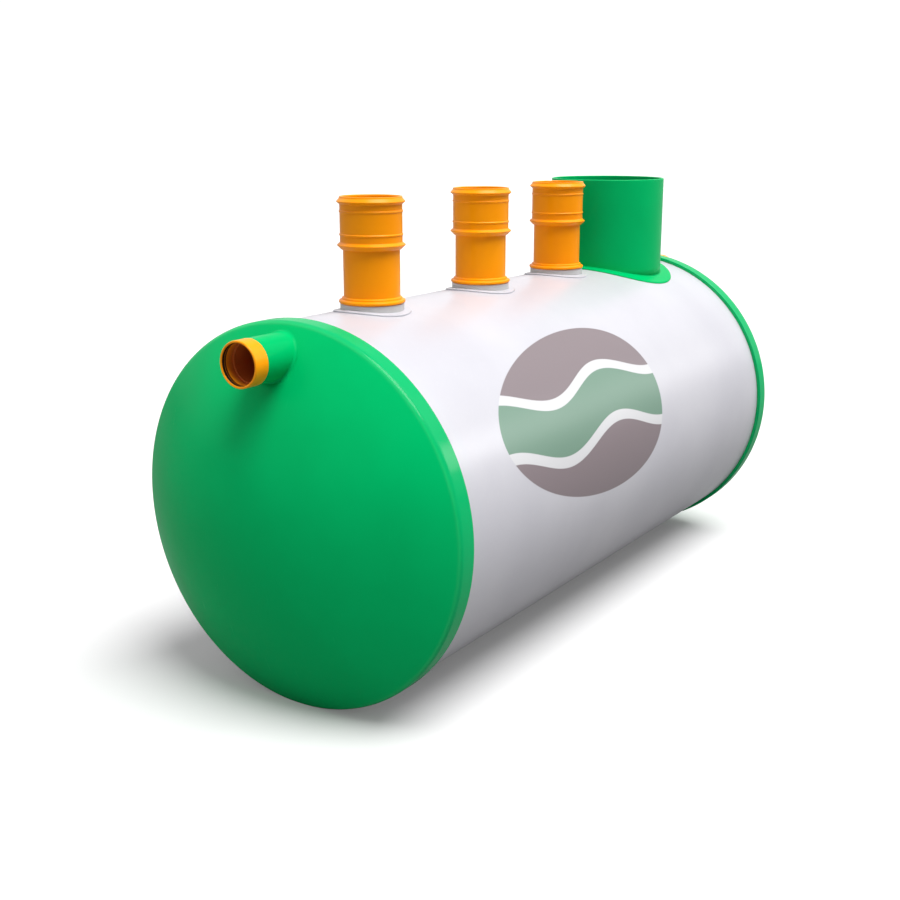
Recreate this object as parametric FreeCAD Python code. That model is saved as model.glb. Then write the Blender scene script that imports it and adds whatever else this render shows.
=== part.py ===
import FreeCAD, Part
import math
import os
from itertools import accumulate
from FreeCAD import Vector

# A septic tank that lies on its side: a hollow barrel between two dished end caps, with
# a drain socket high in each cap, and three cleaning risers and a manhole neck on its top.
# Millimetres. X runs along the tank with the inlet end at -X, and Z is up. The origin is on
# the floor under the middle of the tank.

# Barrel, and the clearance between pieces that slide into each other or curve over each other
barrel_radius = 530.0
barrel_wall = 10.0
fit_gap = 0.3

# End caps: a skirt that slips over the barrel, a tight knuckle and a shallow dome
cap_wall = 12.0
skirt_length = 48.0
skirt_end_gap = 2.0
knuckle_inner_radius = 6.0
dome_depth = 170.0
seat_half_width = 70.0

# Branches along the top, given by the clear lengths of barrel between the front skirt, their
# saddles and the rear skirt
first_saddle_gap = 199.0
front_riser_gap = 354.0
rear_riser_gap = 281.0
neck_gap = 26.5
last_saddle_gap = 21.5

# Risers: a stub in a saddle, a pipe whose collar sits on the stub, and a double socket
riser_pipe_radius = 80.0
riser_pipe_wall = 4.7
riser_pipe_dip = 30.0
riser_pipe_shown = 150.5
stub_wall = 10.3
stub_height = 17.5
riser_saddle_width = 20.4
riser_saddle_thickness = 5.0
collar_overhang = 3.4
collar_bead_height = 11.0
collar_ring_overhang = 5.5
collar_ring_height = 7.0
coupling_length = 146.0
coupling_wall = 7.3
coupling_taper = 3.2
coupling_bead_overhang = 8.4
coupling_bead_width = 2.0
coupling_bead_back = 6.5
lower_bead_inset = 11.5
upper_bead_inset = 13.5
coupling_mouth_height = 5.0
coupling_mouth_slope = 1.0
coupling_rib_overhang = 2.0
coupling_rib_width = 7.0
coupling_rib_inset = 41.0
coupling_stop_height = 4.0
coupling_stop_depth = 3.5
pipe_play = 0.4
mouth_chamfer = 2.5

# Sealing rings, in a groove inside each socket's mouth
groove_width = 9.0
groove_depth = 6.0
groove_inset = 14.0
seal_play = 0.2
drain_groove_depth = 3.2
drain_groove_inset = 4.0

# Manhole neck
neck_radius = 206.3
neck_wall = 8.0
neck_saddle_width = 41.4
neck_saddle_thickness = 5.0
upstand_width = 4.0
upstand_height = 3.0
inside_stand = 12.0
cut_margin = 1.0

# Inlet and outlet: a sleeve with a foot in the cap, and a socket whose spigot lies in it
drain_pipe_radius = 55.0
spigot_wall = 3.2
sleeve_wall = 6.0
sleeve_foot = 9.0
foot_edge_gap = 3.7
foot_fillet = 5.0
drain_reach = 250.0
socket_shown = 47.0
socket_shoulder = 4.0
spigot_past_sleeve = 12.0
lip_round = 2.5

cap_radius = barrel_radius + fit_gap + cap_wall
axis_height = math.sqrt(cap_radius ** 2 - seat_half_width ** 2)
barrel_top = axis_height + barrel_radius
knuckle_radius = knuckle_inner_radius + cap_wall

stub_bore = riser_pipe_radius + fit_gap
stub_radius = stub_bore + stub_wall
riser_saddle_radius = stub_radius + riser_saddle_width
neck_saddle_radius = neck_radius + neck_saddle_width

riser_pitches = [
    first_saddle_gap + riser_saddle_radius,
    front_riser_gap + 2 * riser_saddle_radius,
    rear_riser_gap + 2 * riser_saddle_radius,
]
neck_pitch = riser_saddle_radius + neck_gap + neck_saddle_radius
barrel_shown = sum(riser_pitches) + neck_pitch + neck_saddle_radius + last_saddle_gap
skirt_edge = barrel_shown / 2
riser_places = [reached - skirt_edge for reached in accumulate(riser_pitches)]
neck_place = riser_places[-1] + neck_pitch

collar_base = barrel_top + stub_height
coupling_base = collar_base + riser_pipe_shown
coupling_top = coupling_base + coupling_length
coupling_bore = riser_pipe_radius + pipe_play
coupling_radius = coupling_bore + coupling_wall
coupling_middle = coupling_base + coupling_length / 2

socket_bore = drain_pipe_radius + pipe_play
sleeve_bore = drain_pipe_radius + fit_gap
sleeve_radius = sleeve_bore + sleeve_wall
foot_radius = sleeve_radius + sleeve_foot
drain_height = barrel_radius - foot_radius - foot_edge_gap
knuckle_plane = skirt_edge + skirt_length
dome_apex = knuckle_plane + dome_depth
lip_plane = skirt_edge + drain_reach
sleeve_end = lip_plane - socket_shown
sleeve_start = knuckle_plane

# The dome's radius is the one with which its arc meets the knuckle's smoothly
knuckle_centre = cap_radius - knuckle_radius
dome_radius = ((dome_depth ** 2 + knuckle_centre ** 2 - knuckle_radius ** 2)
               / (2 * (dome_depth - knuckle_radius)))
dome_centre = dome_radius - dome_apex

UP = Vector(0, 0, 1)
ALONG = Vector(1, 0, 0)
ORIGIN = Vector(0, 0, 0)


def turned(points, place):
    """A closed outline of (radius, height) points turned about the upright axis at x = place."""
    corners = [Vector(radius, 0, height) for radius, height in points]
    face = Part.Face(Part.makePolygon(corners + corners[:1]))
    solid = face.revolve(ORIGIN, UP, 360)
    solid.translate(Vector(place, 0, 0))
    return solid


def ring(outer, inner, low, high, place=0.0):
    """An upright tube between two heights."""
    return turned([(inner, low), (outer, low), (outer, high), (inner, high)], place)


def rod(radius, low, high, height=0.0):
    """A cylinder along X, between two x values, whose axis is height above the tank's axis."""
    return Part.makeCylinder(radius, high - low, Vector(low, 0, axis_height + height), ALONG)


def mirrored(shape):
    """The same piece at the other end of the tank."""
    return shape.mirror(ORIGIN, ALONG)


def tank_barrel():
    """A tube that ends inside both skirts, with a round hole under each branch."""
    end = skirt_edge + skirt_length - skirt_end_gap
    barrel = rod(barrel_radius, -end, end).cut(rod(barrel_radius - barrel_wall, -end, end))
    for place in riser_places:
        barrel = barrel.cut(Part.makeCylinder(stub_radius + fit_gap, barrel_radius * 2,
                                              Vector(place, 0, axis_height)))
    return barrel.cut(Part.makeCylinder(neck_radius + fit_gap, barrel_radius * 2,
                                        Vector(neck_place, 0, axis_height)))


def dish_edges(inset):
    """The skirt line, knuckle arc and dome arc of a cap, inset from its outer face, in the
    plane of x and radius, with the points where they start and end."""
    knuckle = knuckle_radius - inset
    dome = dome_radius - inset

    def at_knuckle(angle):
        return Vector(-knuckle_plane - knuckle * math.cos(angle), 0,
                      knuckle_centre + knuckle * math.sin(angle))

    def at_dome(angle):
        return Vector(dome_centre - dome * math.cos(angle), 0, dome * math.sin(angle))

    lean = math.asin(knuckle_centre / (dome_radius - knuckle_radius))
    rim = Vector(-skirt_edge, 0, cap_radius - inset)
    shoulder = at_knuckle(math.pi / 2)
    meet = at_knuckle(lean)
    return rim, at_dome(0), [
        Part.LineSegment(rim, shoulder).toShape(),
        Part.Arc(shoulder, at_knuckle((math.pi / 2 + lean) / 2), meet).toShape(),
        Part.Arc(meet, at_dome(lean / 2), at_dome(0)).toShape(),
    ]


def dished_shell():
    """The cap's outer and inner outlines closed at the rim and on the axis, turned about X."""
    outer_rim, outer_apex, outer = dish_edges(0.0)
    inner_rim, inner_apex, inner = dish_edges(cap_wall)
    rim = Part.LineSegment(outer_rim, inner_rim).toShape()
    axis = Part.LineSegment(outer_apex, inner_apex).toShape()
    outline = Part.Wire(Part.__sortEdges__(outer + [axis] + inner + [rim]))
    shell = Part.Face(outline).revolve(ORIGIN, ALONG, 360)
    shell.translate(Vector(0, 0, axis_height))
    return shell


def drain_hole(radius):
    """The cylinder that a drain's sleeve takes out of the inlet cap."""
    return rod(radius, -lip_plane, -knuckle_plane, drain_height)


def end_cap(shell):
    """The dished shell with its drain hole, and a flat under the skirt to stand on."""
    block = Part.makeBox(dome_apex, 2 * cap_radius, 2 * cap_radius,
                         Vector(-dome_apex, -cap_radius, 0))
    return shell.cut(drain_hole(foot_radius + fit_gap)).common(block)


def drain_sleeve(shell):
    """A tube through the cap whose foot is a disc of the cap's own wall, filleted to it."""
    foot = shell.common(drain_hole(foot_radius))
    sleeve = rod(sleeve_radius, -sleeve_end, -sleeve_start, drain_height).fuse(foot)
    sleeve = sleeve.makeFillet(foot_fillet, [edge for edge in sleeve.Edges if is_foot_edge(edge)])
    return sleeve.cut(rod(sleeve_bore, -lip_plane, 0, drain_height))


def is_foot_edge(edge):
    """True for the curve where the tube leaves the outer face of the dome."""
    middle = edge.valueAt((edge.FirstParameter + edge.LastParameter) / 2)
    from_drain = math.hypot(middle.y, middle.z - axis_height - drain_height)
    from_dome = middle.distanceToPoint(Vector(dome_centre, 0, axis_height))
    return abs(from_drain - sleeve_radius) < 0.01 and abs(from_dome - dome_radius) < 0.01


def drain_socket():
    """A socket ahead of the sleeve, a groove in its bore, and a spigot back into the tank."""
    groove = lip_plane - drain_groove_inset
    socket = rod(sleeve_radius, -lip_plane, -sleeve_end, drain_height)
    lip = [edge for edge in socket.Edges if abs(edge.CenterOfMass.x + lip_plane) < 0.01]
    socket = socket.makeFillet(lip_round, lip)
    socket = socket.fuse(rod(drain_pipe_radius, -sleeve_end, -sleeve_start + spigot_past_sleeve,
                             drain_height))
    socket = socket.cut(rod(socket_bore, -lip_plane, -sleeve_end - socket_shoulder, drain_height))
    socket = socket.cut(rod(socket_bore + drain_groove_depth, -groove, -groove + groove_width,
                            drain_height))
    return socket.cut(rod(drain_pipe_radius - spigot_wall, -lip_plane, 0, drain_height))


def drain_seal():
    """The ring that lies in the socket's groove, a little back from the bore."""
    low = -lip_plane + drain_groove_inset + seal_play
    high = low + groove_width - 2 * seal_play
    outer = rod(socket_bore + drain_groove_depth - seal_play, low, high, drain_height)
    return outer.cut(rod(socket_bore + seal_play, low, high, drain_height))


def saddle(place, radius, bore, thickness):
    """A round plate bent over the barrel, with a hole for the branch."""
    inner = barrel_radius + fit_gap
    shell = rod(inner + thickness, place - radius, place + radius).cut(
        rod(inner, place - radius, place + radius))
    return shell.common(ring(radius, bore, axis_height, barrel_top + 2 * thickness, place))


def trimmed_to_tank(branch, place, radius):
    """A branch with its lower end cut to the tank's inside, which it stands into a little."""
    reach = radius + cut_margin
    return branch.cut(rod(barrel_radius - barrel_wall - inside_stand, place - reach,
                          place + reach))


def riser_saddle(place):
    return saddle(place, riser_saddle_radius, stub_radius + fit_gap, riser_saddle_thickness)


def riser_stub(place):
    """The short upright socket that the riser pipe stands in."""
    stub = ring(stub_radius, stub_bore, axis_height, barrel_top + stub_height, place)
    return trimmed_to_tank(stub, place, stub_radius)


def riser_pipe(place):
    """A pipe that dips into the tank, with a beaded collar resting on the stub."""
    bottom = barrel_top - barrel_wall - inside_stand - riser_pipe_dip
    top = coupling_middle - coupling_stop_height / 2 - fit_gap
    inner = riser_pipe_radius - riser_pipe_wall
    bead = stub_radius + collar_overhang
    ring_top = collar_base + collar_bead_height + collar_ring_height
    collar_ring = riser_pipe_radius + collar_ring_overhang
    return turned([
        (inner, bottom),
        (riser_pipe_radius, bottom),
        (riser_pipe_radius, collar_base),
        (stub_radius, collar_base),
        (bead, collar_base + collar_bead_height / 3),
        (bead, collar_base + collar_bead_height * 2 / 3),
        (collar_ring, collar_base + collar_bead_height),
        (collar_ring, ring_top - collar_ring_height / 2),
        (riser_pipe_radius, ring_top),
        (riser_pipe_radius, top),
        (inner, top),
    ], place)


def riser_coupling(place):
    """A double socket: a bead and a rib near each end, a groove in the bore behind each bead,
    and a stop in the middle that rests on the pipe. Its lower end tapers towards the pipe."""
    crest = coupling_radius + coupling_bead_overhang
    low_crest = coupling_base + lower_bead_inset
    high_crest = coupling_top - upper_bead_inset
    return turned([
        (coupling_radius - coupling_taper, coupling_base),
        (crest, low_crest),
        (crest, low_crest + coupling_bead_width),
        (coupling_radius, low_crest + coupling_bead_width + coupling_bead_back),
        *rib_corners(coupling_base + coupling_rib_inset),
        *rib_corners(coupling_top - coupling_rib_inset),
        (coupling_radius, high_crest - coupling_bead_width - coupling_bead_back),
        (crest, high_crest - coupling_bead_width),
        (crest, high_crest),
        (coupling_radius + coupling_mouth_slope, coupling_top - coupling_mouth_height),
        (coupling_radius, coupling_top),
        *bore_corners(coupling_top, -1),
        *reversed(bore_corners(coupling_base, 1)),
    ], place)


def rib_corners(middle):
    """The outline of a low rounded rib, upwards."""
    return [
        (coupling_radius, middle - coupling_rib_width / 2),
        (coupling_radius + coupling_rib_overhang, middle - coupling_rib_width / 5),
        (coupling_radius + coupling_rib_overhang, middle + coupling_rib_width / 5),
        (coupling_radius, middle + coupling_rib_width / 2),
    ]


def bore_corners(end, inward):
    """Half of the coupling's inside, from its mouth to the stop: the lead-in chamfer, the bore
    with its groove, and the stop's edge."""
    near, far = groove_span(end, inward)
    stop = coupling_middle - inward * coupling_stop_height / 2
    return [
        (coupling_bore + mouth_chamfer, end),
        (coupling_bore, end + inward * mouth_chamfer),
        (coupling_bore, near),
        (coupling_bore + groove_depth, near),
        (coupling_bore + groove_depth, far),
        (coupling_bore, far),
        (coupling_bore, stop),
        (coupling_bore - coupling_stop_depth, stop),
    ]


def groove_span(end, inward):
    """The heights of the groove's two sides, the one nearer the mouth first."""
    middle = end + inward * groove_inset
    return middle - inward * groove_width / 2, middle + inward * groove_width / 2


def riser_seal(place):
    """The ring in the upper groove, a little back from the bore."""
    high, low = groove_span(coupling_top, -1)
    return ring(coupling_bore + groove_depth - seal_play, coupling_bore + seal_play,
                low + seal_play, high - seal_play, place)


def manhole_neck():
    """The open neck, level with the risers' tops."""
    neck = ring(neck_radius, neck_radius - neck_wall, axis_height, coupling_top, neck_place)
    return trimmed_to_tank(neck, neck_place, neck_radius)


def manhole_saddle():
    """The neck's saddle plate with an upstand that follows it round the neck."""
    bore = neck_radius + fit_gap
    plate = saddle(neck_place, neck_saddle_radius, bore, neck_saddle_thickness)
    upstand = saddle(neck_place, bore + upstand_width, bore,
                     neck_saddle_thickness + upstand_height)
    return plate.fuse(upstand).removeSplitter()


def export(name, shape):
    """Writes one piece, which has to be one closed solid."""
    solid = shape.Solids[0]
    print(name, len(shape.Solids), round(solid.Volume / 1000), solid.isValid())
    solid.exportStep(f"parts/{name}.step")


def main():
    os.makedirs("parts", exist_ok=True)
    shell = dished_shell()
    cap = end_cap(shell)
    sleeve = drain_sleeve(shell)
    socket = drain_socket()
    seal = drain_seal()
    export("tank_barrel", tank_barrel())
    export("front_end_cap", cap)
    export("rear_end_cap", mirrored(cap))
    export("inlet_sleeve", sleeve)
    export("outlet_sleeve", mirrored(sleeve))
    export("inlet_socket", socket)
    export("outlet_socket", mirrored(socket))
    export("inlet_seal", seal)
    export("outlet_seal", mirrored(seal))
    for number, place in enumerate(riser_places, start=1):
        export(f"riser_saddle_{number}", riser_saddle(place))
        export(f"riser_stub_{number}", riser_stub(place))
        export(f"riser_pipe_{number}", riser_pipe(place))
        export(f"riser_coupling_{number}", riser_coupling(place))
        export(f"riser_seal_{number}", riser_seal(place))
    export("manhole_neck", manhole_neck())
    export("manhole_saddle", manhole_saddle())


main()
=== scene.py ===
import math

import bmesh
import bpy
import numpy as np
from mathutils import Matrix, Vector


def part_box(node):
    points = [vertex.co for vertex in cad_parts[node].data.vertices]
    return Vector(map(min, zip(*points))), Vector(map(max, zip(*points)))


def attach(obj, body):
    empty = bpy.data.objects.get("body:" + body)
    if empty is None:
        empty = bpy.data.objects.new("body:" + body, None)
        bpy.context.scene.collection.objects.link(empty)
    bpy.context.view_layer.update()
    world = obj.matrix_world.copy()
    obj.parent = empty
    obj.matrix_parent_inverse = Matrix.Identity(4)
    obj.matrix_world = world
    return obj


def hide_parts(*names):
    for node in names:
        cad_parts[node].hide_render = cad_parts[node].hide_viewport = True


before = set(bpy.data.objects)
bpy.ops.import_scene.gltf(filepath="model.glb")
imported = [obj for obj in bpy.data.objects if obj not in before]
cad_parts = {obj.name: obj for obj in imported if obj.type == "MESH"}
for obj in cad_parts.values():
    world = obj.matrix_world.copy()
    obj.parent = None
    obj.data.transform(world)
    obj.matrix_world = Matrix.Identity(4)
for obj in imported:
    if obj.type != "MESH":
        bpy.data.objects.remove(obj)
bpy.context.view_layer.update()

# Sizes that several pieces share, in metres, as the construction model has them
tank = {
    "axisHeight": 0.537763,
    "barrelRadius": 0.530,
    "barrelWall": 0.010,
    "barrelEnd": 1.0677,
    "clearance": 0.0003,
    "skirtEdge": 1.0217,
    "capRadius": 0.5423,
    "capWall": 0.012,
    "kneePlane": 1.0697,
    "kneeRadius": 0.018,
    "domeDepth": 0.170,
    "insideReach": 0.508,    # branches are cut to this radius about the tank's axis
}
barrelTop = tank["axisHeight"] + tank["barrelRadius"]


def middleOf(node):
    # x of the middle of a node's box
    low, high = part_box(node)
    return (low.x + high.x) / 2


riserPlaces = [middleOf(f"riser_coupling_{number}") for number in (1, 2, 3)]
neckPlace = middleOf("manhole_neck")


# How outlines are drawn, in metres where it is a length
drawing = {
    "arcPoints": 5,        # points on each rounded corner
    "support": 0.0015,     # how near to a corner a side gets an extra point
    "longest": 0.03,       # the longest step along a side
    "merge": 0.00001,      # points closer than this become one
}


def roundedOutline(rows):
    # Rows of (radius, along, rounding). Every corner of the closed outline becomes an arc. Its
    # centre is on the corner's bisector, at rounding / sin(half the corner), and it starts
    # rounding / tan(half the corner) along each side
    rows = np.asarray(rows, float)
    corners, radii = rows[:, :2], rows[:, 2:]
    back = np.roll(corners, 1, 0) - corners
    ahead = np.roll(corners, -1, 0) - corners
    back /= np.linalg.norm(back, axis=1, keepdims=True)
    ahead /= np.linalg.norm(ahead, axis=1, keepdims=True)
    half = np.arccos(np.clip((back * ahead).sum(1, keepdims=True), -1, 1)) / 2
    bisector = back + ahead
    bisector /= np.linalg.norm(bisector, axis=1, keepdims=True)
    centre = corners + bisector * radii / np.sin(half)
    first = corners + back * radii / np.tan(half) - centre
    last = corners + ahead * radii / np.tan(half) - centre
    sweep = (math.pi - 2 * half)[:, :, None]
    share = np.linspace(0, 1, drawing["arcPoints"])[None, :, None]
    arcs = np.sin((1 - share) * sweep) * first[:, None] + np.sin(share * sweep) * last[:, None]
    return (centre[:, None] + arcs / np.sin(sweep)).reshape(-1, 2)


def evenly(points, rounding):
    # The points as rows of an outline, all with one rounding
    return [(*point, rounding) for point in points]


def braced(outline, support=drawing["support"]):
    # A closed outline with extra points on its long sides: one close to each end, which keeps the
    # side flat beside its rounded corners, and others so that no step is longer than the longest
    closed = np.vstack([outline, outline[:1]])
    reach = np.concatenate([[0], np.cumsum(np.linalg.norm(np.diff(closed, axis=0), axis=1))])
    low, high = reach[:-1], reach[1:]
    long = high - low > 3 * support
    inner = np.concatenate([low[long] + support, high[long] - support])
    marks = np.arange(0, reach[-1], drawing["longest"])
    side = np.searchsorted(reach, marks, side="right") - 1
    free = (marks - low[side] > 2 * support) & (high[side] - marks > 2 * support)
    stations = np.sort(np.concatenate([low, inner, marks[free]]))
    return np.stack([np.interp(stations, reach, closed[:, 0]),
                     np.interp(stations, reach, closed[:, 1])], 1)


def turnedGrid(outline, segments):
    # The outline (radius, along) at every angle of a full turn: three grids, closed both ways
    closed = np.vstack([outline, outline[:1]])
    angle = np.linspace(0, 2 * math.pi, segments + 1)
    radius = np.repeat(closed[:, :1], segments + 1, 1)
    along = np.repeat(closed[:, 1:], segments + 1, 1)
    return radius, along, np.broadcast_to(angle, radius.shape)


def upright(place, radius, height, angle):
    # x = place + radius cos, y = radius sin, z = height
    return np.stack([place + radius * np.cos(angle), radius * np.sin(angle), height], -1)


def lying(height, radius, along, angle):
    # x = along, y = radius cos, z = height + radius sin
    return np.stack([along, radius * np.cos(angle), height + radius * np.sin(angle)], -1)


def meshOf(name, sheets):
    # Each sheet is a grid of points whose cells become faces; where sheets meet they are joined
    cells, start = [], 0
    for sheet in sheets:
        rows, columns = sheet.shape[:2]
        number = np.arange(rows * columns).reshape(rows, columns) + start
        cells.append(np.stack([number[:-1, :-1], number[1:, :-1], number[1:, 1:],
                               number[:-1, 1:]], -1).reshape(-1, 4))
        start += rows * columns
    mesh = bpy.data.meshes.new(name)
    mesh.from_pydata(np.concatenate([sheet.reshape(-1, 3) for sheet in sheets]), [],
                     np.concatenate(cells))
    work = bmesh.new()
    work.from_mesh(mesh)
    bmesh.ops.remove_doubles(work, verts=work.verts, dist=drawing["merge"])
    bmesh.ops.recalc_face_normals(work, faces=work.faces)
    work.to_mesh(mesh)
    work.free()
    mesh.polygons.foreach_set("use_smooth", np.ones(len(mesh.polygons), bool))
    return mesh


def addPiece(name, sheets, node, material):
    mesh = meshOf(name, sheets)
    mesh.materials.append(material)
    piece = bpy.data.objects.new(name, mesh)
    bpy.context.scene.collection.objects.link(piece)
    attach(piece, "root")
    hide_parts(node)
    return piece


class Wire:
    # One output of a node. Arithmetic on it adds Math nodes
    def __init__(self, sheet, socket):
        self.sheet = sheet
        self.socket = socket

    def math(self, operation, *terms):
        return self.sheet.node("ShaderNodeMath", {"operation": operation}, terms)

    def __add__(self, other):
        return self.math("ADD", self, other)

    def __sub__(self, other):
        return self.math("SUBTRACT", self, other)

    def __rsub__(self, other):
        return self.math("SUBTRACT", other, self)

    def __mul__(self, other):
        return self.math("MULTIPLY", self, other)

    def __truediv__(self, other):
        return self.math("DIVIDE", self, other)

    def __rtruediv__(self, other):
        return self.math("DIVIDE", other, self)

    def __pow__(self, other):
        return self.math("POWER", self, other)

    def __rpow__(self, other):
        return self.math("POWER", other, self)

    __radd__ = __add__
    __rmul__ = __mul__


class Sheet:
    # The node tree of a material or of the world, with one way to add a node to it
    def __init__(self, owner):
        owner.use_nodes = True
        self.tree = owner.node_tree
        self.tree.nodes.clear()

    def node(self, kind, settings=None, values=()):
        # settings are set first; values go to the open sockets in order, or by socket name
        made = self.tree.nodes.new(kind)
        for key, value in (settings or {}).items():
            setattr(made, key, value)
        inputs = [socket for socket in made.inputs if socket.enabled]
        pairs = (((made.inputs[key], value) for key, value in values.items())
                 if isinstance(values, dict) else zip(inputs, values))
        for socket, value in pairs:
            if isinstance(value, Wire):
                self.tree.links.new(value.socket, socket)
            else:
                socket.default_value = value
        outputs = [Wire(self, socket) for socket in made.outputs if socket.enabled]
        return outputs[0] if len(outputs) == 1 else outputs

    def mix(self, share, first, second):
        return self.node("ShaderNodeMix", {"data_type": "RGBA"}, (share, first, second))

    def rise(self, value, low, high):
        # 0 below low, 1 above high, and a smooth step between them
        return self.node("ShaderNodeMapRange", {"interpolation_type": "SMOOTHSTEP"},
                         {"Value": value, "From Min": low, "From Max": high})

    def noise(self, where, scale, detail=3.0, rough=0.5):
        return self.node("ShaderNodeTexNoise", {},
                         {"Vector": where, "Scale": scale, "Detail": detail,
                          "Roughness": rough})[0]

    def stretched(self, where, factors):
        return self.node("ShaderNodeVectorMath", {"operation": "MULTIPLY"}, (where, factors))


def paint(code):
    # A screen colour such as "00a050" as the linear colour that shaders use
    parts = np.array([int(code[at:at + 2], 16) for at in (0, 2, 4)]) / 255
    linear = np.where(parts <= 0.04045, parts / 12.92, ((parts + 0.055) / 1.055) ** 2.4)
    return (*linear.tolist(), 1.0)


def finishMaterial(sheet, colour, gloss, relief, depth, fixed, coat=0.0):
    # Colour, roughness, coat and relief vary, and the rest is fixed. A relief of 1 is depth high
    bump = sheet.node("ShaderNodeBump", {}, {"Strength": 1.0, "Distance": depth,
                                             "Height": relief})
    values = {"Base Color": colour, "Roughness": gloss, "Normal": bump, "Coat Weight": coat,
              **fixed}
    surface = sheet.node("ShaderNodeBsdfPrincipled", {}, values)
    sheet.node("ShaderNodeOutputMaterial", {}, {"Surface": surface})


def newSheet(name):
    material = bpy.data.materials.new(name)
    sheet = Sheet(material)
    where = sheet.node("ShaderNodeTexCoord")[3]
    return material, sheet, where


finishes = {
    "mouldedGreen": {
        # skirt: a darker green that is painted shade on the skirt, which catches the lamps
        # strongly
        "main": "00bd6a", "deep": "00b363", "pale": "06c271", "skirt": "00a862",
        "rough": 0.24, "roughSpread": 0.08, "grain": 900.0, "depth": 0.00004,
        "scuffs": (2.0, 60.0, 3.0), "coat": 0.35, "coatRough": 0.14, "skirtDull": 0.6,
        "fixed": {"Specular IOR Level": 0.03},
    },
    "sleeveGreen": {
        "main": "00b062", "deep": "00a75c", "pale": "06b569",
        "rough": 0.24, "roughSpread": 0.08, "grain": 900.0, "depth": 0.00004,
        "scuffs": (60.0, 60.0, 60.0), "fixed": {"Specular IOR Level": 0.02},
    },
    "neckGreen": {
        "main": "00b665", "deep": "00ac5f", "pale": "06bb6c",
        "rough": 0.28, "roughSpread": 0.08, "grain": 900.0, "depth": 0.00004,
        "scuffs": (60.0, 60.0, 3.0), "fixed": {"Specular IOR Level": 0.06},
    },
    "whiteSheet": {
        "main": "c0bfc5", "deep": "b9b8bf", "pale": "c8c7cb",
        "rough": 0.30, "roughSpread": 0.10, "grain": 700.0, "depth": 0.00003,
        "scuffs": (2.0, 50.0, 50.0), "fixed": {"Specular IOR Level": 0.45},
    },
    "orangePipe": {
        "main": "ff9d00", "deep": "fd9600", "pale": "ffa60c",
        "rough": 0.30, "roughSpread": 0.12, "grain": 1200.0, "depth": 0.00003,
        "scuffs": (120.0, 120.0, 6.0), "fixed": {"Specular IOR Level": 0.15},
    },
    "socketOrange": {
        # bore is painted shade for deep in the bore, and ring is a painted shadow round the seal
        "main": "ffa00c", "deep": "fd9a06", "pale": "ffaa1c", "bore": "cc6e32",
        "ring": "4a1c08",
        "rough": 0.30, "roughSpread": 0.12, "grain": 1200.0, "depth": 0.00003,
        "scuffs": (120.0, 120.0, 6.0), "fixed": {"Specular IOR Level": 0.15},
    },
    "paleStub": {
        "main": "c9c8c8", "deep": "bdbcbc", "pale": "d6d5d5",
        "rough": 0.45, "roughSpread": 0.12, "grain": 1200.0, "depth": 0.00003,
        "scuffs": (120.0, 120.0, 6.0), "fixed": {"Specular IOR Level": 0.35},
    },
    "blackRubber": {
        "main": "2a140a", "deep": "1e0e07", "pale": "3a1e10",
        "rough": 0.62, "roughSpread": 0.2, "grain": 1500.0, "depth": 0.00005,
        "scuffs": (60.0, 60.0, 60.0), "fixed": {"Specular IOR Level": 0.1},
    },
}


# What the finishes have in common: broad cloud, fine grain, and thin scuffs that run one way.
# A noise is (scale, detail) or (scale, detail, roughness), and a range is where a step rises
plastic = {
    "cloud": (2.2, 4.0), "ripple": (9.0, 2.0), "scuffLines": (4.0, 5.0, 0.6), "grainDetail": 2.0,
    "grainPerFleck": 8,
    "deepRange": (0.35, 0.7), "fleckRange": (0.58, 0.8), "scuffRange": (0.66, 0.76),
    "fleckShare": 0.2, "scuffShare": 0.4, "scuffRough": 0.12,
    "rippleHeight": 2.0, "grainHeight": 0.35, "scuffDepth": 0.5,
}


def plasticBase(sheet, where, look):
    # Colour = main, drawn to deep by a cloud half a metre wide and to pale in flecks and scuffs.
    # Roughness = rough + spread * (cloud - 1/2) + scuffs. Relief = ripple + grain - scuffs
    cloud = sheet.noise(where, *plastic["cloud"])
    flecks = sheet.noise(where, look["grain"] / plastic["grainPerFleck"], plastic["grainDetail"])
    grain = sheet.noise(where, look["grain"], plastic["grainDetail"])
    ripple = sheet.noise(where, *plastic["ripple"])
    lines = sheet.noise(sheet.stretched(where, look["scuffs"]), *plastic["scuffLines"])
    scuffs = sheet.rise(lines, *plastic["scuffRange"])
    deep = sheet.rise(cloud, *plastic["deepRange"])
    fleck = sheet.rise(flecks, *plastic["fleckRange"]) * plastic["fleckShare"]
    colour = sheet.mix(deep, paint(look["main"]), paint(look["deep"]))
    colour = sheet.mix(fleck, colour, paint(look["pale"]))
    colour = sheet.mix(scuffs * plastic["scuffShare"], colour, paint(look["pale"]))
    gloss = (cloud - 0.5) * look["roughSpread"] + look["rough"] + scuffs * plastic["scuffRough"]
    relief = ripple * plastic["rippleHeight"] + grain * plastic["grainHeight"]
    return colour, gloss, relief - scuffs * plastic["scuffDepth"]


def plainMaterial(name):
    look = finishes[name]
    material, sheet, where = newSheet(name)
    colour, gloss, relief = plasticBase(sheet, where, look)
    finishMaterial(sheet, colour, gloss, relief, look["depth"], look["fixed"])
    return material


# The round print on the barrel's side: two wavy pale bands across a disc
badge = {
    "place": -0.2997, "angle": 24.39, "halfLength": 0.4843, "halfArc": 0.2649, "bend": 0.2385,
    "outer": "7a6e72", "inner": "668674", "band": "c9c9cb",
    "edge": 0.0012, "waves": 1.5, "waveHeight": 0.035, "bandPlace": 0.085, "bandHalf": 0.016,
    "inkDepth": 0.003, "inkFade": 0.001,      # how far under the outer face the print ends
    "dulling": 0.05,
}


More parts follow.
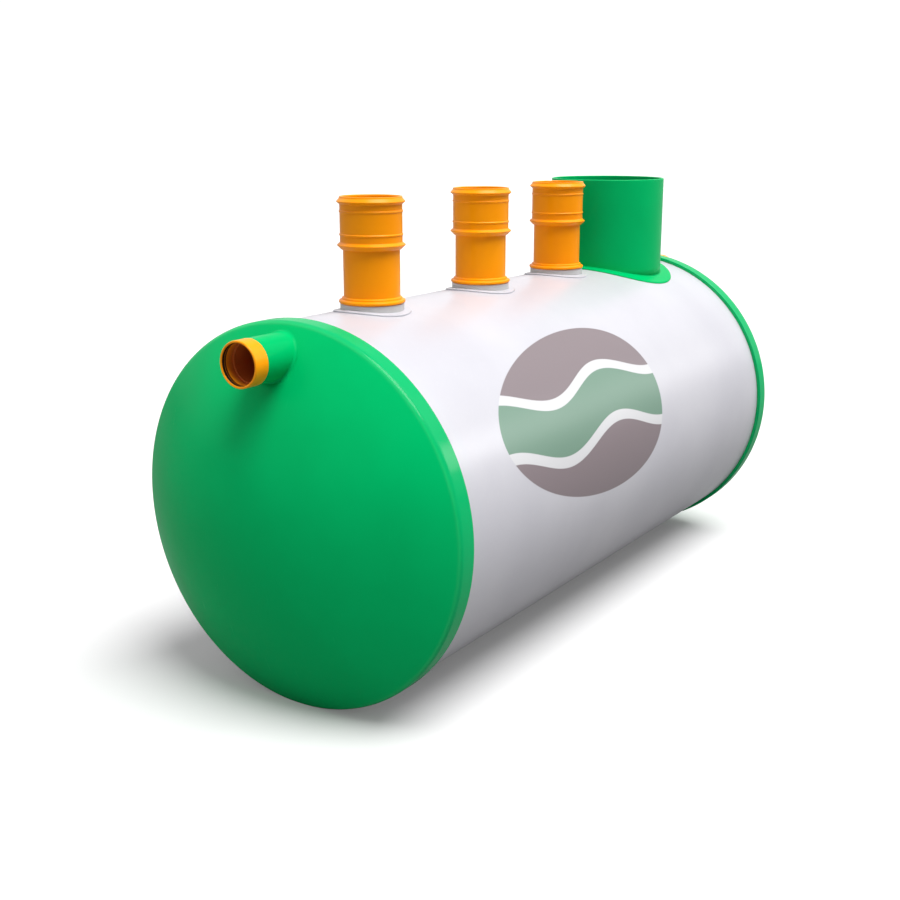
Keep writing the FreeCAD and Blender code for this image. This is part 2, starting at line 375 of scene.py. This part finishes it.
def printedSheet():
    # The white sheet, with the badge on the barrel's outer face. Along = x - place, arc = (angle -
    # badge angle) * radius. The badge fills (along / half length - bend * v^2)^2 + v^2 < 1, where
    # v = arc / half arc, and its bands lie at arc = wave(along) +- band place
    look = finishes["whiteSheet"]
    material, sheet, where = newSheet("printedSheet")
    colour, gloss, relief = plasticBase(sheet, where, look)
    x, y, z = sheet.node("ShaderNodeSeparateXYZ", {}, (where,))
    up = z - tank["axisHeight"]
    out = y * -1.0
    angle = up.math("ARCTAN2", up, out)
    along = x - badge["place"]
    arc = (angle - math.radians(badge["angle"])) * tank["barrelRadius"]
    across = (arc / badge["halfArc"]) ** 2.0
    reach = ((along / badge["halfLength"] - across * badge["bend"]) ** 2.0 + across) ** 0.5
    soft = badge["edge"] / badge["halfArc"]
    radial = (up * up + y * y) ** 0.5
    inkEnd = tank["barrelRadius"] - badge["inkDepth"]
    disc = 1.0 - sheet.rise(reach, 1.0 - soft, 1.0 + soft)
    disc = disc * sheet.rise(radial, inkEnd - badge["inkFade"], inkEnd)
    wave = along * (math.pi * badge["waves"] / badge["halfLength"])
    lifted = arc - wave.math("SINE", wave) * badge["waveHeight"]
    distance = lifted.math("ABSOLUTE", lifted)
    fromBand = distance - badge["bandPlace"]
    inner = 1.0 - sheet.rise(fromBand, -badge["edge"], badge["edge"])
    band = 1.0 - sheet.rise(fromBand.math("ABSOLUTE", fromBand),
                            badge["bandHalf"] - badge["edge"],
                            badge["bandHalf"] + badge["edge"])
    ink = sheet.mix(inner, paint(badge["outer"]), paint(badge["inner"]))
    ink = sheet.mix(band, ink, paint(badge["band"]))
    colour = sheet.mix(disc, colour, ink)
    gloss = gloss + disc * badge["dulling"]
    finishMaterial(sheet, colour, gloss, relief, look["depth"], look["fixed"])
    return material


sleeveGreen = plainMaterial("sleeveGreen")
neckGreen = plainMaterial("neckGreen")
whiteSheet = plainMaterial("whiteSheet")
orangePipe = plainMaterial("orangePipe")
paleStub = plainMaterial("paleStub")
blackRubber = plainMaterial("blackRubber")
barrelPrint = printedSheet()
print("materials made")


barrel = {
    "topHalf": math.radians(30),      # the strip along the top that holds the holes
    "topSteps": 32, "sideSteps": 150, "step": 0.020,
    "ringSteps": 9, "ringCrowding": 1.3,      # rings round a hole lie closer towards it
    "riserHalf": 0.120, "neckHalf": 0.236,
    "riserHole": 0.0909, "neckHole": 0.2066,
}


def barrelPoint(radius, x, angle):
    # x along the tank, and the angle from the top: y = radius sin, z = axis + radius cos
    return np.stack([x, radius * np.sin(angle), tank["axisHeight"] + radius * np.cos(angle)], -1)


def steps(low, high):
    # Even steps from low to high, each about as long as the barrel's step
    return np.linspace(low, high, max(2, int(round((high - low) / barrel["step"])) + 1))


def holePatch(radius, place, half, hole):
    # From an upright hole out to a rectangle round it, both worked out in (x, angle). A hole point
    # has angle asin(hole sin(t) / radius), and the rings between are straight blends
    top = barrel["topHalf"]
    xs = steps(place - half, place + half)
    ts = np.linspace(-top, top, barrel["topSteps"] + 1)
    edgeX = np.concatenate([xs, np.full(len(ts) - 1, xs[-1]), xs[-2::-1],
                            np.full(len(ts) - 1, xs[0])])
    edgeT = np.concatenate([np.full(len(xs), -top), ts[1:], np.full(len(xs) - 1, top), ts[-2::-1]])
    turn = np.arctan2(edgeT * tank["barrelRadius"], edgeX - place)
    holeX = place + hole * np.cos(turn)
    holeT = np.arcsin(hole * np.sin(turn) / radius)
    share = np.linspace(0, 1, barrel["ringSteps"])[:, None] ** barrel["ringCrowding"]
    return barrelPoint(radius, holeX + share * (edgeX - holeX), holeT + share * (edgeT - holeT))


def barrelSheets():
    # Outer and inner face, each a long sheet round the sides, strips along the top between the
    # holes and a patch round each hole; then the rims that join the two faces
    holes = [(place, barrel["riserHalf"], barrel["riserHole"]) for place in riserPlaces]
    holes.append((neckPlace, barrel["neckHalf"], barrel["neckHole"]))
    end = tank["barrelEnd"]
    top = barrel["topHalf"]
    marks, reached = [], -end
    plain = []
    for place, half, _ in holes:
        plain.append(steps(reached, place - half))
        marks += [plain[-1], steps(place - half, place + half)]
        reached = place + half
    plain.append(steps(reached, end))
    xs = np.unique(np.round(np.concatenate(marks + [plain[-1]]), 9))
    sheets, rims = [], []
    for radius in (tank["barrelRadius"], tank["barrelRadius"] - tank["barrelWall"]):
        ts = np.linspace(top, 2 * math.pi - top, barrel["sideSteps"] + 1)
        sheets.append(barrelPoint(radius, *np.meshgrid(xs, ts, indexing="ij")))
        ts = np.linspace(-top, top, barrel["topSteps"] + 1)
        sheets += [barrelPoint(radius, *np.meshgrid(part, ts, indexing="ij")) for part in plain]
        patches = [holePatch(radius, *hole) for hole in holes]
        sheets += patches
        around = np.concatenate([ts, np.linspace(top, 2 * math.pi - top,
                                                 barrel["sideSteps"] + 1)[1:]])
        ends = [barrelPoint(radius, np.full(len(around), x), around) for x in (-end, end)]
        rims.append(ends + [patch[0] for patch in patches])
    sheets += [np.stack(pair) for pair in zip(*rims)]
    return sheets


addPiece("tankBarrel", barrelSheets(), "tank_barrel", barrelPrint)
print("barrel made")


cap = {
    "segments": 224, "domeRings": 56, "drainHole": 0.0628, "drainHeight": 0.456,
    "rimRound": 0.003, "rimInnerRound": 0.001,
    "kneeSteps": 14, "innerKneeSteps": 10, "rimSteps": 7, "rimInnerSteps": 4,
    "nearSupport": 0.004, "farSupport": 0.020, "rimSupport": 0.003, "rimInnerSupport": 0.006,
    # where the painted shade on the skirt and the gloss begin: how far they have come in, and over
    # what width
    "skirtInset": 0.001, "coatInset": 0.001, "fade": 0.005,
}
kneeCentre = tank["capRadius"] - tank["kneeRadius"]
domeRadius = ((tank["domeDepth"] ** 2 + kneeCentre ** 2 - tank["kneeRadius"] ** 2)
              / (2 * (tank["domeDepth"] - tank["kneeRadius"])))
domeCentre = domeRadius - tank["kneePlane"] - tank["domeDepth"]
lean = math.asin(kneeCentre / (domeRadius - tank["kneeRadius"]))
kneeStart = kneeCentre + tank["kneeRadius"] * math.sin(lean)


def capMaterial():
    # The moulded green, with painted shade that makes the skirt a deeper green, a coat on the
    # knuckle and less of it on the skirt. Radial = distance from the tank's axis, and both begin
    # where it passes their radius
    look = finishes["mouldedGreen"]
    material, sheet, where = newSheet("capGreen")
    colour, gloss, relief = plasticBase(sheet, where, look)
    y, z = sheet.node("ShaderNodeSeparateXYZ", {}, (where,))[1:]
    up = z - tank["axisHeight"]
    radial = (up * up + y * y) ** 0.5
    skirtFrom = tank["capRadius"] - cap["skirtInset"]
    coatFrom = kneeStart + cap["coatInset"]
    skirt = sheet.rise(radial, skirtFrom - cap["fade"], skirtFrom)
    # painted shade: the skirt in a darker green
    colour = sheet.mix(skirt, colour, paint(look["skirt"]))
    coat = sheet.rise(radial, coatFrom - cap["fade"], coatFrom) * look["coat"]
    coat = coat * (1.0 - skirt * look["skirtDull"])
    fixed = {**look["fixed"], "Coat Roughness": look["coatRough"]}
    finishMaterial(sheet, colour, gloss, relief, look["depth"], fixed, coat)
    return material


def capFace(radius):
    # x of the cap's outer face: the dome's arc out to where the knuckle's arc takes over
    knee = tank["kneeRadius"]
    dome = domeCentre - np.sqrt(np.maximum(domeRadius ** 2 - radius ** 2, 0))
    bend = -tank["kneePlane"] - np.sqrt(np.maximum(knee ** 2 - (radius - kneeCentre) ** 2, 0))
    return np.where(radius < kneeStart, dome, bend)


def quarter(centre, radius, start, end, count):
    # An arc of (x, radius) points, with angles measured from the direction into the tank's end
    angle = np.linspace(start, end, count)
    return np.stack([centre[0] - radius * np.cos(angle), centre[1] + radius * np.sin(angle)], 1)


def capSheets(side):
    # Knuckle and skirt are an outline turned about the tank's axis. The dome is a nest of circles
    # from the drain hole to the knuckle: centre = hole height * (1 - share), and the radius grows
    # with the share
    outer, wall, knee = tank["capRadius"], tank["capWall"], tank["kneeRadius"]
    edge, plane = tank["skirtEdge"], tank["kneePlane"]
    rim, rimIn = cap["rimRound"], cap["rimInnerRound"]
    far = -plane + cap["farSupport"]
    outline = np.concatenate([
        quarter((-plane, kneeCentre), knee, lean, math.pi / 2, cap["kneeSteps"]),
        [(-plane + cap["nearSupport"], outer), (far, outer),
         (-edge - rim - cap["rimSupport"], outer)],
        quarter((-edge - rim, outer - rim), rim, math.pi / 2, math.pi, cap["rimSteps"]),
        quarter((-edge - rimIn, outer - wall + rimIn), rimIn, math.pi, 1.5 * math.pi,
                cap["rimInnerSteps"]),
        [(-edge - cap["rimInnerSupport"], outer - wall), (far, outer - wall)],
        quarter((-plane, kneeCentre), knee - wall, math.pi / 2, lean, cap["innerKneeSteps"]),
    ])
    angle = np.linspace(0, 2 * math.pi, cap["segments"] + 1)
    turn = np.broadcast_to(angle, (len(outline), len(angle)))
    bent = lying(tank["axisHeight"], np.repeat(outline[:, 1:], len(angle), 1),
                 np.repeat(outline[:, :1], len(angle), 1), turn)
    share = np.linspace(0, 1, cap["domeRings"])[:, None]
    domes = []
    for inset, rimRadius in ((0, outline[0, 1]), (wall, outline[-1, 1])):
        size = cap["drainHole"] + (rimRadius - cap["drainHole"]) * share
        y = size * np.cos(angle)
        z = cap["drainHeight"] * (1 - share) + size * np.sin(angle)
        x = domeCentre - np.sqrt((domeRadius - inset) ** 2 - y ** 2 - z ** 2)
        domes.append(np.stack([x, y, z + tank["axisHeight"]], -1))
    hole = np.stack([domes[0][0], domes[1][0]])
    sheets = [bent, *domes, hole]
    for sheet in sheets:
        sheet[..., 2] = np.maximum(sheet[..., 2], 0)   # the flat that it stands on
        sheet[..., 0] *= -side
    return sheets


capGreen = capMaterial()
addPiece("frontCap", capSheets(-1), "front_end_cap", capGreen)
addPiece("rearCap", capSheets(1), "rear_end_cap", capGreen)
print("caps made")


drain = {
    "height": 0.993763, "segments": 128,
    "sleeveRadius": 0.0613, "sleeveBore": 0.0553, "sleeveEnd": 1.2247, "sleeveStart": 1.0697,
    "sleeveRound": 0.0009, "footFillet": 0.008, "footSink": 0.0004,
    "footSteps": 14, "roundSteps": 5, "support": 0.004,
    "lip": 1.2717, "socketBore": 0.0554, "shoulder": 0.004, "groove": 0.0032,
    "grooveInset": 0.004, "grooveWidth": 0.009, "spigotRadius": 0.055, "spigotWall": 0.0032,
    "spigotEnd": 1.0577,
    "lipRound": 0.0025, "mouthRound": 0.0022, "endRound": 0.0008, "stepRound": 0.0006,
    "grooveRound": 0.0005, "cornerRound": 0.0002,
    "sealPlay": 0.0002, "sealRound": 0.0003, "sealLip": 0.0012, "sealValley": 0.0011,
    "sealShoulder": 0.0018,
    # painted shadow, a dark ring round the seal, and painted shade that deepens down the bore:
    # ranges of depth from the lip
    "shadowRingStart": (0.0025, 0.0035), "shadowRingStop": (0.0165, 0.0180), "boreShadeRange": (0.010, 0.045),
    "boreEdge": (0.0003, 0.0009),
}


def sleeveSheets(side):
    # A tube with a foot that flares onto the dome: at radius r from the drain's axis the foot
    # stands f - sqrt(f^2 - (tube radius + f - r)^2) proud of the cap's face, f being its fillet
    tube, bore, fillet = drain["sleeveRadius"], drain["sleeveBore"], drain["footFillet"]
    start, end, gap = -drain["sleeveStart"], -drain["sleeveEnd"], drain["support"]
    bend = np.linspace(0, math.pi / 2, drain["footSteps"])
    footRadius = tube + fillet * (1 - np.cos(bend))[::-1]
    footRise = fillet * (1 - np.sin(bend))[::-1]
    rootRadius = tube + fillet - gap / 4
    angle = np.linspace(0, 2 * math.pi, drain["segments"] + 1)
    rows = []

    def row(radius, x):
        rows.append(lying(drain["height"], np.full(len(angle), radius),
                          np.broadcast_to(x, len(angle)), angle))

    def face(radius):
        y = radius * np.cos(angle)
        z = drain["height"] - tank["axisHeight"] + radius * np.sin(angle)
        return capFace(np.hypot(y, z))

    row(bore, start)
    row(tube, start)
    row(tube, start - gap / 2)
    row(rootRadius, face(rootRadius) + gap)
    for radius, rise in zip(footRadius, footRise):
        row(radius, face(radius) + drain["footSink"] - rise)
    row(tube, end + gap)
    edge = drain["sleeveRound"]
    for turn in np.linspace(0, math.pi / 2, drain["roundSteps"]):
        row(tube - edge * (1 - math.cos(turn)), end + edge * (1 - math.sin(turn)))
    for turn in np.linspace(0, math.pi / 2, drain["roundSteps"]):
        row(bore + edge * (1 - math.sin(turn)), end + edge * (1 - math.cos(turn)))
    row(bore, end + gap)
    row(bore, start - gap)
    row(bore, start)
    sheet = np.stack(rows)
    sheet[..., 0] *= -side
    return [sheet]


def drainSheets(side, rows):
    # An outline of (radius, x, rounding) turned about the drain's axis
    grid = turnedGrid(braced(roundedOutline(rows)), drain["segments"])
    sheet = lying(drain["height"], *grid)
    sheet[..., 0] *= -side
    return [sheet]


def socketRows():
    # Down the outside, along the spigot and back through the bore, its shoulder and its groove
    lip, bore, tube = -drain["lip"], drain["socketBore"], drain["sleeveRadius"]
    back = -drain["sleeveEnd"]
    grooveLow = lip + drain["grooveInset"]
    grooveHigh = grooveLow + drain["grooveWidth"]
    deep = bore + drain["groove"]
    spigot = drain["spigotRadius"]
    inside = spigot - drain["spigotWall"]
    end, step, groove = drain["endRound"], drain["stepRound"], drain["grooveRound"]
    return [
        (tube, lip, drain["lipRound"]), (tube, back, end), (spigot, back, drain["cornerRound"]),
        (spigot, -drain["spigotEnd"], end), (inside, -drain["spigotEnd"], end),
        (inside, back - drain["shoulder"], step), (bore, back - drain["shoulder"], step),
        (bore, grooveHigh, step), (deep, grooveHigh, groove), (deep, grooveLow, groove),
        (bore, grooveLow, step), (bore, lip, drain["mouthRound"]),
    ]


def sealRows():
    # A ring with two lips towards the bore and a valley between them
    play, lip, shoulder = drain["sealPlay"], drain["sealLip"], drain["sealShoulder"]
    low = -drain["lip"] + drain["grooveInset"] + play
    high = low + drain["grooveWidth"] - 2 * play
    outer = drain["socketBore"] + drain["groove"] - play
    inner = drain["socketBore"] + play
    middle = (low + high) / 2
    return evenly([(outer, low), (outer, high), (inner + lip, high), (inner, high - shoulder),
                   (inner + drain["sealValley"], middle), (inner, low + shoulder),
                   (inner + lip, low)], drain["sealRound"])


def socketMaterial():
    # The drain sockets' orange, with painted shade inside: depth = lip - |x|. A painted shadow, a
    # dark ring, lies round the seal, and behind it painted shade darkens the bore with depth
    look = finishes["socketOrange"]
    material, sheet, where = newSheet("socketOrange")
    colour, gloss, relief = plasticBase(sheet, where, look)
    x, y, z = sheet.node("ShaderNodeSeparateXYZ", {}, (where,))
    up = z - drain["height"]
    radial = (up * up + y * y) ** 0.5
    low, high = drain["boreEdge"]
    inside = 1.0 - sheet.rise(radial, drain["socketBore"] + low, drain["socketBore"] + high)
    depth = drain["lip"] - x.math("ABSOLUTE", x)
    # painted shadow: a dark ring round the seal inside the bore
    ring = sheet.rise(depth, *drain["shadowRingStart"]) * (1.0 - sheet.rise(depth, *drain["shadowRingStop"]))
    # painted shade: the bore darker with depth
    boreShade = inside * sheet.rise(depth, *drain["boreShadeRange"])
    colour = sheet.mix(boreShade, colour, paint(look["bore"]))
    colour = sheet.mix(inside * ring, colour, paint(look["ring"]))
    finishMaterial(sheet, colour, gloss, relief, look["depth"], look["fixed"])
    return material


socketOrange = socketMaterial()
for side, word in ((-1, "inlet"), (1, "outlet")):
    addPiece(f"{word}Sleeve", sleeveSheets(side), f"{word}_sleeve", sleeveGreen)
    addPiece(f"{word}Socket", drainSheets(side, socketRows()), f"{word}_socket",
             socketOrange)
    addPiece(f"{word}Seal", drainSheets(side, sealRows()), f"{word}_seal",
             blackRubber)
print("drain pieces made")


riser = {
    "segments": 112, "pipe": 0.0800, "pipeBore": 0.0753, "pipeBottom": 1.015763,
    "stub": 0.0906, "stubBore": 0.0803, "stubTop": 1.085263,
    "stubRound": 0.0012, "cutRound": 0.0005, "pipeRound": 0.0012,
    "saddle": 0.1110, "saddleBore": 0.0909, "saddleThickness": 0.005, "saddleRound": 0.0022,
    "plateRound": 0.0003, "plateSupport": 0.001,
    # the pipe's collar: radii, and heights over the stub's top
    "collar": 0.0940, "collarRing": 0.0855, "collarBase": 0.0015, "collarTop": 0.0095,
    "ringBase": 0.0120, "ringTop": 0.0165, "pipeFrom": 0.0190,
    "creaseRound": 0.0004, "collarRound": 0.0028, "collarTopRound": 0.0035,
    "ringRound": 0.0016, "ringTopRound": 0.0020,
    # where the collar steps off the stub: how far inside the stub's radius
    "stepIn": 0.0020, "stepOut": 0.0010,
}
# The riser's double socket: radii, and distances from the nearer end
coupling = {
    "base": 1.235763, "length": 0.146, "body": 0.0877, "bore": 0.0804, "stop": 0.0769,
    "bead": 0.0961, "rib": 0.0897, "groove": 0.0864, "taperedEnd": 0.0845, "mouthEdge": 0.0887,
    "ribSpan": (0.0375, 0.0396, 0.0424, 0.0445), "lowerBead": (0.0115, 0.0135, 0.0200),
    "upperBead": (0.0050, 0.0135, 0.0155, 0.0220), "grooveSpan": (0.0095, 0.0185),
    "chamfer": 0.0025, "stopHalf": 0.002, "pipeGap": 0.0003,
    "edgeRound": 0.0004, "beadRound": 0.0010, "hollowRound": 0.0030, "ribFoot": 0.0012,
    "ribRound": 0.0010, "lipRound": 0.0018, "mouthRound": 0.0020, "stepRound": 0.0006,
    "stopRound": 0.0005,
    "sealMiddle": 0.014, "sealPlay": 0.0002, "sealHalf": 0.0043, "sealShoulder": 0.0022,
    "sealLip": 0.0020, "sealValley": 0.0016, "sealRound": 0.0004,
}
cutHeight = 1.0      # any height under the barrel's top: cutBranch gives the point its real one
cutMargin = 0.02


def lowEnd(radius, angle):
    # Where an upright cylinder of that radius meets the cylinder that branches are cut to
    return tank["axisHeight"] + np.sqrt(tank["insideReach"] ** 2 - (radius * np.sin(angle)) ** 2)


def cutBranch(place, outline, segments):
    # An outline turned about an upright axis; its points below the barrel's top go to the cut end
    radius, height, angle = turnedGrid(outline, segments)
    height = np.where(height < barrelTop - cutMargin, lowEnd(radius, angle), height)
    return [upright(place, radius, height, angle)]


def bentPlate(place, rows, segments):
    # An outline of (distance from the branch's axis, height over the barrel, rounding) laid on
    # the barrel: y = distance sin, z = axis + sqrt((barrel radius + height)^2 - y^2)
    outline = braced(roundedOutline(rows), riser["plateSupport"])
    radius, height, angle = turnedGrid(outline, segments)
    y = radius * np.sin(angle)
    z = tank["axisHeight"] + np.sqrt((tank["barrelRadius"] + height) ** 2 - y ** 2)
    return [np.stack([place + radius * np.cos(angle), y, z], -1)]


def tubeOutline(outer, inner, top, topRound):
    # A plain upright tube whose lower end cutBranch shapes
    return braced(roundedOutline([
        (outer, cutHeight, riser["cutRound"]), (outer, top, topRound),
        (inner, top, topRound), (inner, cutHeight, riser["cutRound"])]))


def pipeOutline():
    # Up the outside from the end in the stub, over collar and ring, and down the bore
    stub, base, edge = riser["stub"], riser["stubTop"], riser["pipeRound"]
    top = coupling["base"] + coupling["length"] / 2 - coupling["stopHalf"] - coupling["pipeGap"]
    pipe, bore, collar, ring = (riser[key] for key in ("pipe", "pipeBore", "collar", "collarRing"))
    step, crease = base + riser["collarBase"], riser["creaseRound"]
    return braced(roundedOutline([
        (bore, riser["pipeBottom"], edge), (pipe, riser["pipeBottom"], edge),
        (pipe, base, crease), (stub - riser["stepIn"], base, crease),
        (stub - riser["stepOut"], step, crease), (collar, step, riser["collarRound"]),
        (collar, base + riser["collarTop"], riser["collarTopRound"]),
        (ring, base + riser["ringBase"], riser["ringRound"]),
        (ring, base + riser["ringTop"], riser["ringTopRound"]),
        (pipe, base + riser["pipeFrom"], edge), (pipe, top, edge), (bore, top, edge),
    ]))


def couplingOutline():
    # Rows of (radius, distance from the nearer end, rounding). The outside goes up from the
    # tapered lower end, and the bore comes down from the upper mouth over the stop to the lower
    length, chamfer, hollow = (coupling[key] for key in ("length", "chamfer", "hollowRound"))
    body, bore, rib, bead, groove, stop = (
        coupling[key] for key in ("body", "bore", "rib", "bead", "groove", "stop"))
    foot, crest, step = coupling["ribFoot"], coupling["ribRound"], coupling["stepRound"]
    knob, edge = coupling["beadRound"], coupling["edgeRound"]
    ribs = list(zip((body, rib, rib, body), coupling["ribSpan"], (foot, crest, crest, foot)))
    start, crown, back = coupling["lowerBead"]
    lower = [(coupling["taperedEnd"], 0.0, edge), (bead, start, knob), (bead, crown, knob),
             (body, back, hollow), *ribs]
    mouth, start, crown, back = coupling["upperBead"]
    upper = [(body, 0.0, coupling["lipRound"]),
             (coupling["mouthEdge"], mouth, coupling["mouthRound"]),
             (bead, start, knob), (bead, crown, knob), (body, back, hollow), *ribs]
    near, far = coupling["grooveSpan"]
    ledge = length / 2 - coupling["stopHalf"]
    inside = [(bore + chamfer, 0.0, edge), (bore, chamfer, knob),
              (bore, near, step), (groove, near, step), (groove, far, step), (bore, far, step),
              (bore, ledge, step), (stop, ledge, coupling["stopRound"])]
    fromTop = np.array(upper[::-1] + inside) * (1, -1, 1) + (0, length, 0)
    rows = np.vstack([lower, fromTop, inside[::-1]])
    return braced(roundedOutline(rows + (0, coupling["base"], 0)))


def riserSealOutline():
    # A ring with two lips towards the bore and a valley between them
    middle = coupling["base"] + coupling["length"] - coupling["sealMiddle"]
    outer = coupling["groove"] - coupling["sealPlay"]
    inner = coupling["bore"] + coupling["sealPlay"]
    half, shoulder, lip = (coupling[key] for key in ("sealHalf", "sealShoulder", "sealLip"))
    points = [(outer, -half), (outer, half), (inner + lip, half), (inner, shoulder),
              (inner + coupling["sealValley"], 0.0), (inner, -shoulder), (inner + lip, -half)]
    return roundedOutline(np.array(evenly(points, coupling["sealRound"])) + (0, middle, 0))


riserPlate = [(riser["saddleBore"], tank["clearance"], riser["plateRound"]),
              (riser["saddle"], tank["clearance"], riser["plateRound"]),
              (riser["saddle"], riser["saddleThickness"], riser["saddleRound"]),
              (riser["saddleBore"], riser["saddleThickness"], riser["cutRound"])]
stubOutline = tubeOutline(riser["stub"], riser["stubBore"], riser["stubTop"], riser["stubRound"])
for number, place in enumerate(riserPlaces, start=1):
    segments = riser["segments"]
    addPiece(f"riserSaddle{number}", bentPlate(place, riserPlate, segments),
             f"riser_saddle_{number}", whiteSheet)
    addPiece(f"riserStub{number}", cutBranch(place, stubOutline, segments),
             f"riser_stub_{number}", paleStub)
    for word, node, outline, slotName, material in (
            ("riserPipe", "riser_pipe", pipeOutline(), "pipe_orange", orangePipe),
            ("riserCoupling", "riser_coupling", couplingOutline(), "pipe_orange", orangePipe),
            ("riserSeal", "riser_seal", riserSealOutline(), "seal_rubber", blackRubber)):
        addPiece(f"{word}{number}", [upright(place, *turnedGrid(outline, segments))],
                 f"{node}_{number}", material)
print("risers made")


neck = {
    "segments": 192, "radius": 0.2063, "bore": 0.1983, "top": 1.381763, "lipRound": 0.0030,
    "saddle": 0.2477, "thickness": 0.005, "upstand": 0.2082, "upstandTop": 0.0080,
    "fillet": 0.0025, "saddleRound": 0.0030, "plateRound": 0.0003, "upstandRound": 0.0004,
}
neckOutline = tubeOutline(neck["radius"], neck["bore"], neck["top"], neck["lipRound"])
neckPlate = [(neck["radius"] + tank["clearance"], tank["clearance"], neck["plateRound"]),
             (neck["saddle"], tank["clearance"], neck["plateRound"]),
             (neck["saddle"], neck["thickness"], neck["saddleRound"]),
             (neck["upstand"], neck["thickness"], neck["fillet"]),
             (neck["upstand"], neck["upstandTop"], neck["upstandRound"]),
             (neck["radius"] + tank["clearance"], neck["upstandTop"], neck["plateRound"])]
addPiece("manholeNeck", cutBranch(neckPlace, neckOutline, neck["segments"]),
         "manhole_neck", neckGreen)
addPiece("manholeSaddle", bentPlate(neckPlace, neckPlate, neck["segments"]),
         "manhole_saddle", sleeveGreen)
print("neck made")


studio = {
    "floorSize": 60.0, "floorSteps": 9, "floorDrop": 0.0004,
    "floorColour": "cfcfcf", "floorBounce": "8c8c8c", "floorCloud": (0.7, 2.0),
    "floorRough": 0.75, "floorRoughSpread": 0.1, "floorDepth": 0.0001, "floorShine": 0.1,
    "floorHaze": 0.12,      # lifts the shadows that the camera sees
    "skyLight": 0.06, "backdrop": 1.05, "mirroredSky": 0.8, "horizon": 0.05,
    # name, the way towards it, strength, width in degrees
    "lamps": [("keyLamp", (0.0, -0.375, 0.927), 4.50, 40),
              ("frontLamp", (-0.5, 0.5, 0.74), 1.15, 110),
              ("sideLamp", (0.5, -0.5, 0.707), 0.70, 50),
              ("stripLamp", (0.808, -0.525, 0.267), 0.20, 10)],
}
view = {
    "place": (-3.5308, -2.1238, 1.5723), "azimuth": math.radians(-56.58),
    "elevation": math.radians(14.576), "lens": 49.894, "shift": -0.00102,
}


def addFloor():
    # A level sheet just under the tank. The camera sees it paler than the light that bounces
    half = studio["floorSize"]
    side = np.linspace(-half, half, studio["floorSteps"])
    x, y = np.meshgrid(side, side, indexing="ij")
    level = np.full_like(x, -studio["floorDrop"])
    mesh = meshOf("studioFloor", [np.stack([x, y, level], -1)])
    material, sheet, where = newSheet("studioFloor")
    cloud = sheet.noise(where, *studio["floorCloud"])
    gloss = cloud * studio["floorRoughSpread"] + studio["floorRough"]
    seen = sheet.node("ShaderNodeLightPath")[0]
    colour = sheet.mix(seen, paint(studio["floorBounce"]), paint(studio["floorColour"]))
    haze = sheet.mix(seen * studio["floorHaze"], (0, 0, 0, 1), (1, 1, 1, 1))
    fixed = {"Specular IOR Level": studio["floorShine"], "Emission Color": haze,
             "Emission Strength": 1.0}
    finishMaterial(sheet, colour, gloss, cloud, studio["floorDepth"], fixed)
    mesh.materials.append(material)
    floor = bpy.data.objects.new("studioFloor", mesh)
    bpy.context.scene.collection.objects.link(floor)


def addSky():
    # The sky lights evenly. The camera sees a white backdrop, and glossy reflections see a bright
    # one above the horizon: strength = light, or backdrop, + mirrored * rise(height) * sky
    world = bpy.data.worlds.new("studioSky")
    bpy.context.scene.world = world
    sheet = Sheet(world)
    direction = sheet.node("ShaderNodeTexCoord")[0]
    height = sheet.node("ShaderNodeSeparateXYZ", {}, (direction,))[2]
    path = sheet.node("ShaderNodeLightPath")
    seen, mirrored = path[0], path[3]
    strength = seen * (studio["backdrop"] - studio["skyLight"]) + studio["skyLight"]
    above = sheet.rise(height, 0.0, studio["horizon"])
    strength = strength + mirrored * above * studio["mirroredSky"]
    back = sheet.node("ShaderNodeBackground", {}, {"Color": (1, 1, 1, 1), "Strength": strength})
    sheet.node("ShaderNodeOutputWorld", {}, {"Surface": back})


def addLamps():
    # A wide sun for each row, so that shadows have soft edges
    for name, towards, strength, width in studio["lamps"]:
        lamp = bpy.data.lights.new(name, "SUN")
        lamp.energy = strength
        lamp.angle = math.radians(width)
        holder = bpy.data.objects.new(name, lamp)
        holder.rotation_mode = "QUATERNION"
        holder.rotation_quaternion = Vector(towards).to_track_quat("Z", "Y")
        bpy.context.scene.collection.objects.link(holder)


def addCamera():
    # It stands at its place and looks back along azimuth and elevation
    lens = bpy.data.cameras.new("studioCamera")
    lens.sensor_width = 36.0
    lens.lens = view["lens"]
    lens.shift_y = view["shift"]
    camera = bpy.data.objects.new("studioCamera", lens)
    turn, lift = view["azimuth"], view["elevation"]
    back = Vector((math.sin(turn) * math.cos(lift), -math.cos(turn) * math.cos(lift),
                   math.sin(lift)))
    camera.location = view["place"]
    camera.rotation_mode = "QUATERNION"
    camera.rotation_quaternion = (-back).to_track_quat("-Z", "Y")
    bpy.context.scene.collection.objects.link(camera)
    bpy.context.scene.camera = camera


addFloor()
addSky()
addLamps()
addCamera()
bpy.context.scene.view_settings.view_transform = "Standard"
print("studio made")
